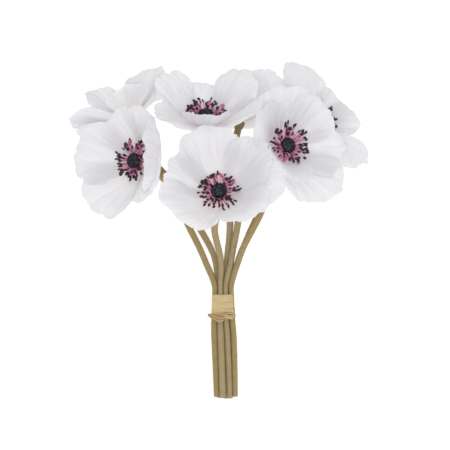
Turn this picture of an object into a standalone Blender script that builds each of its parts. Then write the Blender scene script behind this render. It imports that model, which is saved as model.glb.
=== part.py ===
"""A tied bunch of seven poppy anemones, laid down on a flat surface.

The bunch has a frame of its own, in millimetres: X to the right, Y along the stems towards the heads,
and Z up out of the surface, with the middle of the tie at its origin.  The whole bunch leans about X,
so the cut ends of the stems and the petals of the lowest blooms touch the surface and the rest is clear.

Each bloom has a frame too: its Z is the way the bloom faces, its Y is the side nearer the top of the
bunch, and its origin is where the petals meet.  Petals are sheets on a shallow bowl around that Z axis.
"""

import math
from collections import namedtuple

import bmesh
import bpy
from mathutils import Matrix, Vector

MM = 0.001

# The bunch
LEAN = math.radians(20.0)
PLACE_X = 0.3
PLACE_Y = -63.4

# Stems, seen in a cut across the tie: four in the upper row, three in the hollows below
STEM_RADIUS = 2.4
STEM_SIDES = 8
STEM_SPACING = 5.1
ROW_SPACING = STEM_SPACING * math.sin(math.radians(60.0))
CUT_LENGTH = 70.0
CUT_SWAY = 1.4
BELOW_TIE = 14.0
ABOVE_TIE = 12.0
CALYX_RADIUS = 4.2
CALYX_LENGTH = 8.0
CALYX_TOP = -1.9
CALYX_MIDDLE = 0.6
CALYX_MIDDLE_RADIUS = 0.75 * CALYX_RADIUS
APPROACH_SHARE = 0.2
STEM_SPANS = (5, 3, 3)

# Petals
PETAL_THICKNESS = 0.8
PETAL_ROOT = 2.5
PETAL_ROOT_HEIGHT = -0.4
PETAL_COLUMNS = 6
PETAL_ROWS = (0.0, 0.30, 0.56, 0.80, 1.0)
SIDE_LENGTH = 0.60
SHOULDER_POWER = 2.4
SHOULDER_ROUNDNESS = 0.6
ROOT_LAYER_GAP = 0.55
RIM_LAYER_GAP = 0.9
RUFFLE = 1.3
RUFFLE_WAVES = 5
TANGENT_STEP = 0.02
HEART_RADIUS = 5.5
HEART_BOTTOM = -1.6
HEART_TOP = 1.7
HEART_EDGE = 0.8

# The bowl that the petals follow: its slope rises from the middle and falls again at the rim
BOWL_STEPS = 20
BOWL_START = 0.02
BOWL_TURN = 0.9
BOWL_FLATNESS = 1.3

# Stamens and the dark boss in their middle
COLLAR_INNER = 3.3
COLLAR_OUTER = 4.4
COLLAR_HEIGHT = 1.4
SEAT_HEIGHT = 2.0
STAMEN_COUNT = 16
STAMEN_WANDER = 0.2
STAMEN_REACH = 10.6
REACH_STEP = 1.7
STAMEN_RISE = 8.4
RISE_STEP = 0.5
STAMEN_ROOT_DEPTH = 0.45
STAMEN_ROOT_HEIGHT = 0.7
FILAMENT_RADIUS = 0.5
ANTHER_RADIUS = 1.0
ANTHER_LENGTH = 3.2
ANTHER_WIDEST = 0.45
ANTHER_TIP = 0.3
BOSS_PROFILE = ((3.0, 0.0), (3.0, 2.2), (5.2, 3.2), (5.6, 4.6), (4.6, 6.4), (2.6, 7.6))
BOSS_SIDES = 12
GAP = 0.3

# The ribbon tie
RIBBON_THICKNESS = 0.9
RIBBON_TOP = 8.2
RIBBON_BOTTOM = -7.2
TWIST_RADIUS = 1.5
TWIST_Y = -8.2
TWIST_SIDES = 8

Petal = namedtuple("Petal", "azimuth length half_angle layer lift")
Bloom = namedtuple("Bloom", "name slot way centre yaw pitch cup skew skew_side phase petals")

# Azimuths run clockwise from the bloom's own top.  layer +1 lies inside the ring, -1 outside it.
BLOOMS = (
    Bloom("front", (-0.5, 0.5), (-6, 55, 12), (-2, 82.8, 57.5), 0, 30, 42, -3, 180, 0.4, (
        Petal(-12, 51, 46, -1, -3), Petal(42, 50, 44, 1, 8), Petal(95, 53, 44, -1, -3),
        Petal(150, 46, 44, 1, 2), Petal(222, 52, 48, -1, -4), Petal(300, 54, 46, 1, 3))),
    Bloom("left", (-1.5, 0.5), (-25.5, 59, 4), (-60.5, 106.1, 23), -39, 8, 42, 6, 90, 1.3, (
        Petal(12, 47, 46, -1, -3), Petal(62, 46, 42, 1, 4), Petal(108, 48, 42, -1, -8),
        Petal(155, 44, 42, 1, 3), Petal(210, 54, 46, -1, -4), Petal(284, 53, 50, 1, 3))),
    Bloom("top", (0.0, -0.5), (5, 63, -4), (-12, 141, 9), 2, 58, 42, -14, 180, 2.1, (
        Petal(-52, 50, 44, 1, 3), Petal(5, 36, 40, -1, -6), Petal(50, 51, 48, 1, 3),
        Petal(125, 50, 48, -1, -10), Petal(180, 43, 46, 1, 26), Petal(230, 50, 48, -1, -10))),
    Bloom("right", (1.5, 0.5), (31.5, 72, 10), (45, 116.3, 32.6), 27, 12, 42, 6, 270, 0.9, (
        Petal(8, 50, 46, -1, -3), Petal(62, 48, 42, 1, 3), Petal(98, 52, 42, -1, -5),
        Petal(146, 56, 42, 1, 2), Petal(200, 40, 44, -1, -4), Petal(294, 40, 44, 1, -1))),
    Bloom("rear_left", (-1.0, -0.5), (-16.5, 58, -8), (-72.5, 146, -48.5), -118, 62, 42, 0, 0, 3.0, (
        Petal(-8, 48, 44, 1, 3), Petal(52, 43, 42, -1, -3), Petal(105, 47, 42, 1, 3),
        Petal(175, 53, 50, -1, -16), Petal(235, 48, 44, 1, 3), Petal(300, 48, 44, -1, -3))),
    Bloom("rear_middle", (0.5, 0.5), (12.5, 66, -1), (14, 141.3, -50), 158, 58, 42, 0, 0, 4.1, (
        Petal(-22, 50, 42, -1, -3), Petal(40, 48, 44, 1, 3), Petal(100, 46, 44, -1, -3),
        Petal(165, 48, 44, 1, 3), Petal(230, 46, 44, -1, -3), Petal(302, 49, 42, 1, 3))),
    Bloom("rear_right", (1.0, -0.5), (30, 70, -12), (75.8, 140.2, -54), 49, 29, 42, 0, 0, 5.2, (
        Petal(-34, 53, 50, 1, 3), Petal(38, 40, 44, -1, -3), Petal(92, 39, 44, 1, 3),
        Petal(162, 53, 50, -1, -3), Petal(215, 46, 42, 1, 3), Petal(272, 46, 44, -1, -3))),
)


def clear_scene():
    """Remove what is in the open file."""
    for old in list(bpy.data.objects):
        bpy.data.objects.remove(old, do_unlink=True)


def material(name, colour, roughness, metallic=0.0):
    """A plain material for a piece."""
    made = bpy.data.materials.new(name)
    made.use_nodes = True
    shader = made.node_tree.nodes["Principled BSDF"]
    shader.inputs["Base Color"].default_value = (*colour, 1.0)
    shader.inputs["Roughness"].default_value = roughness
    shader.inputs["Metallic"].default_value = metallic
    return made


def mesh_object(name, points, faces, finish, parent):
    """Make an object from points in millimetres."""
    mesh = bpy.data.meshes.new(name)
    mesh.from_pydata([tuple(Vector(point) * MM) for point in points], [], faces)
    mesh.materials.append(finish)
    mesh.validate()
    made = bpy.data.objects.new(name, mesh)
    bpy.context.scene.collection.objects.link(made)
    made.parent = parent
    return made


def empty(name, place, parent=None):
    """An empty that carries a group of pieces."""
    made = bpy.data.objects.new(name, None)
    bpy.context.scene.collection.objects.link(made)
    made.parent = parent
    made.matrix_local = place
    return made


def surface_height(point):
    """Height above the surface of a point of the bunch frame."""
    lift = CUT_LENGTH * math.sin(LEAN) + (ROW_SPACING / 2 + STEM_RADIUS) * math.cos(LEAN)
    return point.y * math.sin(LEAN) + point.z * math.cos(LEAN) + lift


def bloom_place(bloom):
    """The bloom's frame in the bunch frame."""
    yaw = math.radians(bloom.yaw)
    pitch = math.radians(bloom.pitch)
    facing = Vector((math.sin(yaw) * math.cos(pitch), math.sin(pitch), math.cos(yaw) * math.cos(pitch)))
    upper = (Vector((0, 1, 0)) - facing * facing.y).normalized()
    right = upper.cross(facing)
    turned = Matrix((right, upper, facing)).transposed().to_4x4()
    return Matrix.Translation(Vector(bloom.centre)) @ turned


def bowl_point(bloom, azimuth, distance, reach, lift):
    """Radius, height and slope on the bloom's bowl, at a distance along it from the middle."""
    side = math.cos(azimuth - math.radians(bloom.skew_side))
    cup = math.radians(bloom.cup + bloom.skew * side)
    radius = 0.0
    height = 0.0
    slope = 0.0
    step = distance / BOWL_STEPS
    for index in range(BOWL_STEPS):
        along = (index + 0.5) * step / reach
        turn = math.pi * (BOWL_START + BOWL_TURN * along ** BOWL_FLATNESS)
        slope = cup * math.sin(turn) + math.radians(lift) * along
        radius += step * math.cos(slope)
        height += step * math.sin(slope)
    return radius, height, slope


def petal_point(bloom, petal, across, along):
    """A point in the middle of a petal's thickness; across runs -1 to 1, along runs 0 to 1."""
    azimuth = math.radians(petal.azimuth + across * petal.half_angle)
    shoulder = (1 - abs(across) ** SHOULDER_POWER) ** SHOULDER_ROUNDNESS
    rim = petal.length * (SIDE_LENGTH + (1 - SIDE_LENGTH) * shoulder)
    distance = PETAL_ROOT + (rim - PETAL_ROOT) * along
    share = distance / petal.length
    radius, height, slope = bowl_point(bloom, azimuth, distance, petal.length, petal.lift)
    away = petal.layer * (ROOT_LAYER_GAP + RIM_LAYER_GAP * share)
    away += RUFFLE * share ** 3 * math.sin(RUFFLE_WAVES * azimuth + bloom.phase)
    radius -= away * math.sin(slope)
    height += away * math.cos(slope) + PETAL_ROOT_HEIGHT
    return Vector((radius * math.sin(azimuth), radius * math.cos(azimuth), height))


def rest_on_surface(point, place):
    """Lift a point of a petal's middle until half the petal's thickness clears the surface."""
    low = PETAL_THICKNESS / 2 - surface_height(place @ point)
    if low <= 0:
        return point, False
    up = place.to_3x3().inverted() @ Vector((0, math.sin(LEAN), math.cos(LEAN)))
    return point + up * low, True


def petal_mesh(bloom, petal):
    """Points and faces of one petal: two like faces and the rim between them."""
    place = bloom_place(bloom)
    up = place.to_3x3().inverted() @ Vector((0, math.sin(LEAN), math.cos(LEAN)))
    columns = [math.sin(math.pi / 2 * (2 * index / PETAL_COLUMNS - 1)) for index in range(PETAL_COLUMNS + 1)]
    points = [[], []]
    for along in PETAL_ROWS:
        for across in columns:
            here, pressed = rest_on_surface(petal_point(bloom, petal, across, along), place)
            inward = -1 if across > 0 else 1
            back = -1 if along > 0.5 else 1
            beside = petal_point(bloom, petal, across + inward * TANGENT_STEP, along) - here
            further = petal_point(bloom, petal, across, along + back * TANGENT_STEP) - here
            normal = (beside * inward).cross(further * back).normalized()
            if pressed:
                normal = up if normal.dot(up) > 0 else -up
            points[0].append(here + normal * PETAL_THICKNESS / 2)
            points[1].append(here - normal * PETAL_THICKNESS / 2)
    wide = len(columns)
    tall = len(PETAL_ROWS)
    other = wide * tall
    faces = []
    for row in range(tall - 1):
        for column in range(wide - 1):
            a = row * wide + column
            b = a + 1
            c = b + wide
            d = a + wide
            for triangle in ((a, b, c), (a, c, d)):
                faces.append(triangle)
                faces.append(tuple(other + index for index in reversed(triangle)))
    rim = [(0, column) for column in range(wide)]
    rim += [(row, wide - 1) for row in range(1, tall)]
    rim += [(tall - 1, column) for column in range(wide - 2, -1, -1)]
    rim += [(row, 0) for row in range(tall - 2, 0, -1)]
    loop = [row * wide + column for row, column in rim]
    for first, second in zip(loop, loop[1:] + loop[:1]):
        faces.append((second, first, other + first))
        faces.append((second, other + first, other + second))
    return points[0] + points[1], faces


def outward(made):
    """Turn all faces of a closed mesh outwards."""
    work = bmesh.new()
    work.from_mesh(made.data)
    bmesh.ops.recalc_face_normals(work, faces=work.faces)
    work.to_mesh(made.data)
    work.free()


def join_solids(base, others):
    """Fuse other solids into a base with one Boolean union."""
    group = bpy.data.collections.new(base.name + "_repeats")
    for other in others:
        bpy.context.scene.collection.objects.unlink(other)
        group.objects.link(other)
    bpy.context.scene.collection.children.link(group)
    union = base.modifiers.new("union", "BOOLEAN")
    union.operation = "UNION"
    union.operand_type = "COLLECTION"
    union.collection = group
    union.solver = "EXACT"
    bpy.context.view_layer.update()
    depsgraph = bpy.context.evaluated_depsgraph_get()
    fused = bpy.data.meshes.new_from_object(base.evaluated_get(depsgraph))
    base.modifiers.clear()
    base.data = fused
    for other in others:
        bpy.data.objects.remove(other, do_unlink=True)
    bpy.data.collections.remove(group)


def turned_solid(name, profile, sides, finish, parent):
    """A closed solid of revolution about Z from (radius, height) points, bottom to top."""
    points = []
    for radius, height in profile:
        for index in range(sides):
            angle = 2 * math.pi * index / sides
            points.append((radius * math.cos(angle), radius * math.sin(angle), height))
    faces = [tuple(reversed(range(sides)))]
    for ring in range(len(profile) - 1):
        for index in range(sides):
            following = (index + 1) % sides
            low = ring * sides
            high = low + sides
            faces.append((low + index, low + following, high + following, high + index))
    faces.append(tuple(range(len(points) - sides, len(points))))
    return mesh_object(name, points, faces, finish, parent)


def tube_mesh(path, radii, sides, start_side):
    """A closed tube along a path, one ring of points for each point of the path."""
    points = []
    side = start_side
    for index, here in enumerate(path):
        before = path[max(index - 1, 0)]
        after = path[min(index + 1, len(path) - 1)]
        direction = (after - before).normalized()
        side = (side - direction * side.dot(direction)).normalized()
        other = direction.cross(side)
        for turn in range(sides):
            angle = 2 * math.pi * turn / sides
            points.append(here + radii[index] * (math.cos(angle) * side + math.sin(angle) * other))
    faces = [tuple(reversed(range(sides)))]
    for ring in range(len(path) - 1):
        for turn in range(sides):
            following = (turn + 1) % sides
            low = ring * sides
            high = low + sides
            faces.append((low + turn, low + following, high + following, high + turn))
    faces.append(tuple(range(len(points) - sides, len(points))))
    return points, faces


def smooth_path(knots, steps):
    """Points on a smooth curve through the knots, with steps points for each span."""
    slopes = []
    for index, knot in enumerate(knots):
        before = knots[max(index - 1, 0)]
        after = knots[min(index + 1, len(knots) - 1)]
        slopes.append((after - before) / (2 if 0 < index < len(knots) - 1 else 1))
    path = []
    for index in range(len(knots) - 1):
        for step in range(steps[index]):
            t = step / steps[index]
            start = knots[index] * (2 * t ** 3 - 3 * t ** 2 + 1) + slopes[index] * (t ** 3 - 2 * t ** 2 + t)
            end = knots[index + 1] * (3 * t ** 2 - 2 * t ** 3) + slopes[index + 1] * (t ** 3 - t ** 2)
            path.append(start + end)
    return path + [knots[-1]]


def stem_path(bloom):
    """The middle line of a stem, from its cut end to the underside of its bloom."""
    x = bloom.slot[0] * STEM_SPACING
    z = bloom.slot[1] * ROW_SPACING
    place = bloom_place(bloom)
    calyx = place @ Vector((0, 0, CALYX_TOP - CALYX_LENGTH))
    top = place @ Vector((0, 0, CALYX_TOP))
    reach = (Vector(bloom.way) - calyx).length
    approach = place @ Vector((0, 0, CALYX_TOP - CALYX_LENGTH - APPROACH_SHARE * reach))
    knots = [Vector((x, ABOVE_TIE, z)), Vector(bloom.way), approach, calyx]
    curve = smooth_path(knots, STEM_SPANS)
    below = [Vector((x + CUT_SWAY, -CUT_LENGTH, z)), Vector((x, -BELOW_TIE, z))]
    middle = calyx.lerp(top, CALYX_MIDDLE)
    return below + curve + [middle, top]


def make_stem(bloom, finish, bunch):
    """A stem with the small calyx that carries its bloom."""
    path = stem_path(bloom)
    radii = [STEM_RADIUS] * len(path)
    radii[-2] = CALYX_MIDDLE_RADIUS
    radii[-1] = CALYX_RADIUS
    points, faces = tube_mesh(path, radii, STEM_SIDES, Vector((0, 0, 1)))
    return mesh_object("stem_" + bloom.name, points, faces, finish, bunch)


def make_petals(bloom, finish, holder):
    """Six petals fused to the small heart that they grow from."""
    profile = ((HEART_RADIUS - HEART_EDGE, HEART_BOTTOM), (HEART_RADIUS, HEART_BOTTOM + HEART_EDGE),
               (HEART_RADIUS, HEART_TOP - HEART_EDGE / 2), (HEART_RADIUS - HEART_EDGE, HEART_TOP))
    heart = turned_solid("petals_" + bloom.name, profile, BOSS_SIDES, finish, holder)
    sheets = []
    for petal in bloom.petals:
        points, faces = petal_mesh(bloom, petal)
        sheet = mesh_object("sheet", points, faces, finish, holder)
        outward(sheet)
        sheets.append(sheet)
    join_solids(heart, sheets)
    return heart


def make_stamens(bloom, finish, holder):
    """A ring of stamens, each a fine filament with a fat anther, fused to a collar."""
    profile = ((COLLAR_OUTER, SEAT_HEIGHT), (COLLAR_OUTER, SEAT_HEIGHT + COLLAR_HEIGHT),
               (COLLAR_INNER, SEAT_HEIGHT + COLLAR_HEIGHT), (COLLAR_INNER, SEAT_HEIGHT))
    points = []
    faces = []
    for radius, height in profile:
        for index in range(BOSS_SIDES):
            angle = 2 * math.pi * index / BOSS_SIDES
            points.append((radius * math.cos(angle), radius * math.sin(angle), height))
    for ring in range(4):
        for index in range(BOSS_SIDES):
            following = (index + 1) % BOSS_SIDES
            low = ring * BOSS_SIDES
            high = (ring + 1) % 4 * BOSS_SIDES
            faces.append((low + index, low + following, high + following, high + index))
    collar = mesh_object("stamens_" + bloom.name, points, faces, finish, holder)
    stamens = []
    for index in range(STAMEN_COUNT):
        azimuth = 2 * math.pi * (index + 0.5 + STAMEN_WANDER * math.sin(2.7 * index)) / STAMEN_COUNT
        reach = STAMEN_REACH + REACH_STEP * (index % 3)
        rise = STAMEN_RISE + RISE_STEP * (index % 2)
        outer = Vector((math.sin(azimuth), math.cos(azimuth), 0))
        top = Vector((0, 0, 1))
        root = outer * (COLLAR_OUTER - STAMEN_ROOT_DEPTH) + top * (SEAT_HEIGHT + STAMEN_ROOT_HEIGHT)
        end = outer * reach + top * rise
        direction = (end - root).normalized()
        widest = end + direction * ANTHER_LENGTH * ANTHER_WIDEST
        path = [root, end, widest, end + direction * ANTHER_LENGTH]
        radii = (FILAMENT_RADIUS, FILAMENT_RADIUS, ANTHER_RADIUS, ANTHER_TIP)
        points, faces = tube_mesh(path, radii, 3, top)
        stamens.append(mesh_object("stamen", points, faces, finish, holder))
    join_solids(collar, stamens)
    return collar


def make_boss(bloom, finish, holder):
    """The dark dome in the middle of the bloom."""
    profile = [(radius, SEAT_HEIGHT + height) for radius, height in BOSS_PROFILE]
    return turned_solid("boss_" + bloom.name, profile, BOSS_SIDES, finish, holder)


def bundle_outline(distance, corner_step=20.0):
    """A closed outline in X and Z, at a distance outside the middles of the outermost stems."""
    half = ROW_SPACING / 2
    corners = (((1.5 * STEM_SPACING, half), -30, 90), ((-1.5 * STEM_SPACING, half), 90, 210),
               ((-STEM_SPACING, -half), 210, 270), ((STEM_SPACING, -half), 270, 330))
    outline = []
    for (x, z), first, last in corners:
        count = round((last - first) / corner_step)
        for index in range(count + 1):
            angle = math.radians(first + (last - first) * index / count)
            outline.append((x + distance * math.cos(angle), z + distance * math.sin(angle)))
    return outline


def ribbon_ring(finish, bunch):
    """The flat turn of ribbon around the stems."""
    inner = bundle_outline(STEM_RADIUS + GAP)
    outer = bundle_outline(STEM_RADIUS + GAP + RIBBON_THICKNESS)
    points = []
    for outline, y in ((outer, RIBBON_BOTTOM), (outer, RIBBON_TOP), (inner, RIBBON_TOP), (inner, RIBBON_BOTTOM)):
        points += [(x, y, z) for x, z in outline]
    count = len(outer)
    faces = []
    for ring in range(4):
        for index in range(count):
            following = (index + 1) % count
            low = ring * count
            high = (ring + 1) % 4 * count
            faces.append((low + index, low + following, high + following, high + index))
    ring = mesh_object("tie", points, faces, finish, bunch)
    outward(ring)
    return ring


def twisted_ring(finish, bunch):
    """The ribbon's twisted end, which goes round once more just below the flat turn."""
    path = [Vector((x, TWIST_Y, z)) for x, z in bundle_outline(STEM_RADIUS + GAP + TWIST_RADIUS, 30.0)]
    points = []
    for index, here in enumerate(path):
        before = path[index - 1]
        after = path[(index + 1) % len(path)]
        direction = (after - before).normalized()
        away = direction.cross(Vector((0, 1, 0)))
        for turn in range(TWIST_SIDES):
            angle = 2 * math.pi * turn / TWIST_SIDES
            along = Vector((0, 1, 0))
            points.append(here + TWIST_RADIUS * (math.cos(angle) * away + math.sin(angle) * along))
    faces = []
    for ring in range(len(path)):
        following_ring = (ring + 1) % len(path)
        for turn in range(TWIST_SIDES):
            following = (turn + 1) % TWIST_SIDES
            faces.append((ring * TWIST_SIDES + turn, ring * TWIST_SIDES + following,
                          following_ring * TWIST_SIDES + following, following_ring * TWIST_SIDES + turn))
    ring = mesh_object("twist", points, faces, finish, bunch)
    outward(ring)
    return ring


def ribbon_end(stations, finish, bunch):
    """A loose end of ribbon through stations of (middle, half width, half thickness)."""
    path = [Vector(middle) for middle, width, thickness in stations]
    points = []
    for index, (middle, width, thickness) in enumerate(stations):
        before = path[max(index - 1, 0)]
        after = path[min(index + 1, len(path) - 1)]
        direction = (after - before).normalized()
        front = (Vector((0, 0, 1)) - direction * direction.z).normalized()
        across = direction.cross(front)
        for a, b in ((-1, -1), (1, -1), (1, 1), (-1, 1)):
            points.append(path[index] + across * a * width + front * b * thickness)
    faces = [(3, 2, 1, 0)]
    for ring in range(len(stations) - 1):
        for turn in range(4):
            following = (turn + 1) % 4
            low = ring * 4
            high = low + 4
            faces.append((low + turn, low + following, high + following, high + turn))
    last = 4 * (len(stations) - 1)
    faces.append((last, last + 1, last + 2, last + 3))
    end = mesh_object("ribbon_end", points, faces, finish, bunch)
    outward(end)
    return end


def make_tie(finish, bunch):
    """The paper ribbon: a flat turn, a twisted turn, a knot and two short ends."""
    front = ROW_SPACING / 2 + STEM_RADIUS + GAP + TWIST_RADIUS
    left_end = ((-2.0, -9.3, front + 0.6), 2.2, 1.2), ((-6.5, -8.2, front + 0.8), 1.6, 0.9), \
               ((-11.0, -6.3, front - 0.2), 1.1, 0.5)
    low_end = ((-1.6, -8.0, front + 0.7), 2.6, 1.3), ((-1.2, -10.4, front + 1.2), 3.0, 1.0), \
              ((-1.4, -12.4, front + 1.0), 1.4, 0.5)
    right_end = ((-0.5, -8.8, front + 0.6), 1.6, 1.2), ((4.0, -8.6, front + 0.9), 2.0, 0.8), \
                ((8.2, -9.2, front + 0.3), 2.4, 0.5)
    ring = ribbon_ring(finish, bunch)
    pieces = [twisted_ring(finish, bunch)]
    for stations in (left_end, low_end, right_end):
        pieces.append(ribbon_end(stations, finish, bunch))
    join_solids(ring, pieces)
    return ring


def build():
    """Build the whole bunch."""
    clear_scene()
    stem_finish = material("stem_flock", (0.34, 0.27, 0.13), 0.85)
    petal_finish = material("petal_white", (0.80, 0.79, 0.81), 0.6)
    stamen_finish = material("stamen_pink", (0.55, 0.10, 0.24), 0.6)
    boss_finish = material("boss_dark", (0.012, 0.014, 0.025), 0.6)
    tie_finish = material("ribbon_straw", (0.62, 0.44, 0.20), 0.7)
    origin_height = surface_height(Vector((0, 0, 0)))
    place = Matrix.Translation(Vector((PLACE_X, PLACE_Y, origin_height)) * MM) @ Matrix.Rotation(LEAN, 4, "X")
    bunch = empty("bunch", place)
    for bloom in BLOOMS:
        local = bloom_place(bloom)
        local.translation *= MM
        holder = empty("bloom_" + bloom.name, local, bunch)
        make_stem(bloom, stem_finish, bunch)
        make_petals(bloom, petal_finish, holder)
        make_stamens(bloom, stamen_finish, holder)
        make_boss(bloom, boss_finish, holder)
    make_tie(tie_finish, bunch)


build()
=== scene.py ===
"""A hand-tied bunch of white poppy anemones, lying on a pale table and seen from above.

The bunch has its own frame, in millimetres: X to the right, Y along the stems towards the blooms and Z up out
of the table, with the middle of the tie at its origin.  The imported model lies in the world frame, in metres.
"""

import math
from collections import namedtuple

import bpy
import numpy as np
from mathutils import Matrix, Vector


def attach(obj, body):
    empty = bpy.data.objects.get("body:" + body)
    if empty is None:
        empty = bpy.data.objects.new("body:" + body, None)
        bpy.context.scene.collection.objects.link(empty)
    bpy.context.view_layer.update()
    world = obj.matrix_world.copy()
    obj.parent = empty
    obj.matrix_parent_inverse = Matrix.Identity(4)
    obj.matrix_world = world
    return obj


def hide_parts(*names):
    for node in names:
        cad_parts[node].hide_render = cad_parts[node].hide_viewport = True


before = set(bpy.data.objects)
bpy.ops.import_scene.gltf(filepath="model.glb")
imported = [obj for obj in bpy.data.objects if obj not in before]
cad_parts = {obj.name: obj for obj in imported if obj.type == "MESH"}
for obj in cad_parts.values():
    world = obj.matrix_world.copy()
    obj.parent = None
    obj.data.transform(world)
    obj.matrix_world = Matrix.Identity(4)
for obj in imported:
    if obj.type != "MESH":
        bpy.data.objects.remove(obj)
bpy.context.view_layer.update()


# How the bunch lies.  It leans about X, so that the cut ends of the stems and the petals of the lowest blooms
# touch the table and the heads are held up by one another.
MM = 0.001
LEAN = math.radians(20.0)
PLACE_X = 0.3
PLACE_Y = -63.4
STEM_RADIUS = 2.4
STEM_SPACING = 5.1
ROW_SPACING = STEM_SPACING * math.sin(math.radians(60.0))
CUT_LENGTH = 70.0
REST_HEIGHT = CUT_LENGTH * math.sin(LEAN) + (ROW_SPACING / 2 + STEM_RADIUS) * math.cos(LEAN)
TABLE_UP = Vector((0, math.sin(LEAN), math.cos(LEAN)))
bunch_place = Matrix.Translation(Vector((PLACE_X, PLACE_Y, REST_HEIGHT)) * MM) @ Matrix.Rotation(LEAN, 4, "X")
bunch_scale = bunch_place @ Matrix.Scale(MM, 4)


# The camera.  It looks straight down on the bunch's own plane, with the bunch's length up the picture.
CAMERA_DISTANCE = 1100.0
CAMERA_AIM = (2.25, 60.0)
PICTURE_PIXELS = 450
MM_PER_PIXEL = 0.75
SENSOR = 36.0


def placed(name, data):
    """A new object in the scene, with a mesh, a light or a camera as its data."""
    made = bpy.data.objects.new(name, data)
    bpy.context.scene.collection.objects.link(made)
    return made


camera_data = bpy.data.cameras.new("camera")
camera_data.sensor_width = SENSOR
camera_data.lens = SENSOR * CAMERA_DISTANCE / (PICTURE_PIXELS * MM_PER_PIXEL)
camera = placed("camera", camera_data)
camera.matrix_world = bunch_place @ Matrix.Translation(Vector((*CAMERA_AIM, CAMERA_DISTANCE)) * MM)
bpy.context.scene.camera = camera


# The blooms.  Each is wired to a stem at its own angle, and its petals spring from a small heart in its
# middle.  slot is a stem's place in the tie, way a point that it passes, and centre, yaw and pitch are the
# bloom's place and facing.  cup is how steep its bowl is, and skew adds to that on the skew_side.
# A petal's row is (azimuth, length, half_angle, layer, lift, rise).  Azimuths run clockwise from the bloom's
# own top, layer +1 lies inside the ring of petals and -1 outside it, and lift and rise tilt the petal more.
Petal = namedtuple("Petal", "azimuth length half_angle layer lift rise", defaults=(0,))
Bloom = namedtuple("Bloom", "name slot way centre yaw pitch cup skew skew_side phase petals")
BLOOMS = (
    Bloom("front", (-0.5, 0.5), (-6, 55, 12), (-2, 81.2, 57.5), 0, 30, 42, -3, 180, 0.4, (
        (-14, 52, 50, 0, -4), (51, 51, 42, 1, 6), (85, 51.5, 42, -1, -3),
        (137, 49, 46, 1, 10), (230, 53.5, 49, 0, 8), (292, 44.5, 37, -1, -10))),
    Bloom("left", (-1.5, 0.5), (-26, 56, 3), (-60.5, 106.1, 23), -39, 8, 42, 6, 90, 1.3, (
        (-25, 44, 44, -1, -6), (37, 49, 42, 0, 3), (90, 68, 47, 1, -72, 148),
        (117, 50.5, 48, 0, -4), (212, 51.5, 56, -1, 0), (279, 52, 46, 1, 4))),
    Bloom("top", (0.0, -0.5), (6.5, 63, -4), (-12, 136.8, 9), 2, 58, 42, -14, 180, 2.1, (
        (-64, 51, 41, 1, 14), (6, 39, 50, -1, -18), (56, 52, 42, 1, 5),
        (119, 47, 46, -1, 8), (180, 40, 54, 1, 0, 54), (221, 49, 54, -1, 6))),
    Bloom("right", (1.5, 0.5), (31.5, 72, 10), (45, 116.3, 32.6), 27, 12, 42, 6, 270, 0.9, (
        (-10, 48, 59, -1, -3), (41, 45.5, 44, 1, 7), (102, 45.5, 42, 0, -2),
        (148, 53.5, 48, -1, -6), (202, 38.5, 64, 1, 13), (292, 43.5, 62, 0, 3))),
    Bloom("rear_left", (-1.0, -0.5), (-19, 58, -8), (-72.5, 146, -48.5), -118, 62, 42, 0, 0, 3.0, (
        (5, 46.5, 50, 1, -8), (52, 40, 42, -1, -18), (106, 41, 40, 1, 18),
        (159, 48.5, 53, 0, -16), (202, 52, 56, -1, -33), (294, 50, 54, -1, -20))),
    Bloom("rear_middle", (0.5, 0.5), (13.5, 66, -1), (14, 141.3, -50), 158, 58, 42, 0, 0, 4.1, (
        (-20, 47.5, 44, -1, -3), (40, 34, 44, 1, 3), (100, 41, 44, -1, -4),
        (165, 42.5, 44, 1, 8), (225, 39.5, 52, -1, 7), (300, 52, 42, 1, 6))),
    Bloom("rear_right", (1.0, -0.5), (30, 70, -12), (72.8, 141.5, -54), 49, 29, 42, 0, 0, 5.2, (
        (-12, 52, 54, 1, -36), (66, 37, 48, -1, -3), (105, 37, 48, 1, 6),
        (173, 56, 51, -1, -18), (215, 46, 42, 1, 3), (272, 46, 44, -1, -3))),
)


def bloom_place(bloom):
    """The bloom's frame in the bunch frame: Z is the way it faces and Y its upper side."""
    yaw = math.radians(bloom.yaw)
    pitch = math.radians(bloom.pitch)
    facing = Vector((math.sin(yaw) * math.cos(pitch), math.sin(pitch), math.cos(yaw) * math.cos(pitch)))
    upper = (Vector((0, 1, 0)) - facing * facing.y).normalized()
    right = upper.cross(facing)
    turned = Matrix((right, upper, facing)).transposed().to_4x4()
    return Matrix.Translation(Vector(bloom.centre)) @ turned


# Petals.  Each is cut from fine white cloth, starched and pressed in a hot mould, which leaves fan-like
# pleats and a waved rim; six are glued in two layers to the heart, with a pink stain round the middle.
PETAL_THICKNESS = 0.42
PETAL_ROOT = 2.5
PETAL_ROOT_HEIGHT = -0.4
SIDE_LENGTH = 0.60
SHOULDER_POWER = 2.4
SHOULDER_ROUNDNESS = 0.6
ROOT_LAYER_GAP = 0.55
RIM_LAYER_GAP = 0.9
RUFFLE = 1.3
RUFFLE_WAVES = 5
PLEAT_DEPTH = 0.80
PLEAT_START = 0.12
PLEAT_END = 0.80
PLEAT_SHIFT = 1.7
RIM_WAVE = 0.9
RIM_WAVES = 8.7
RIM_WAVE_BEND = 2.0
RIM_CURL = 1.6
CURL_LENGTH = 0.2
CURL_EVENNESS = 0.6
SIDE_CURL = 0.8
NOTCH_DEPTH = 0.030
NOTCH_WIDTH = 0.05
# The fold height below which painted shade shows in a pleat's valley.
CREASE_SHADE_START = 0.4
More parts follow.
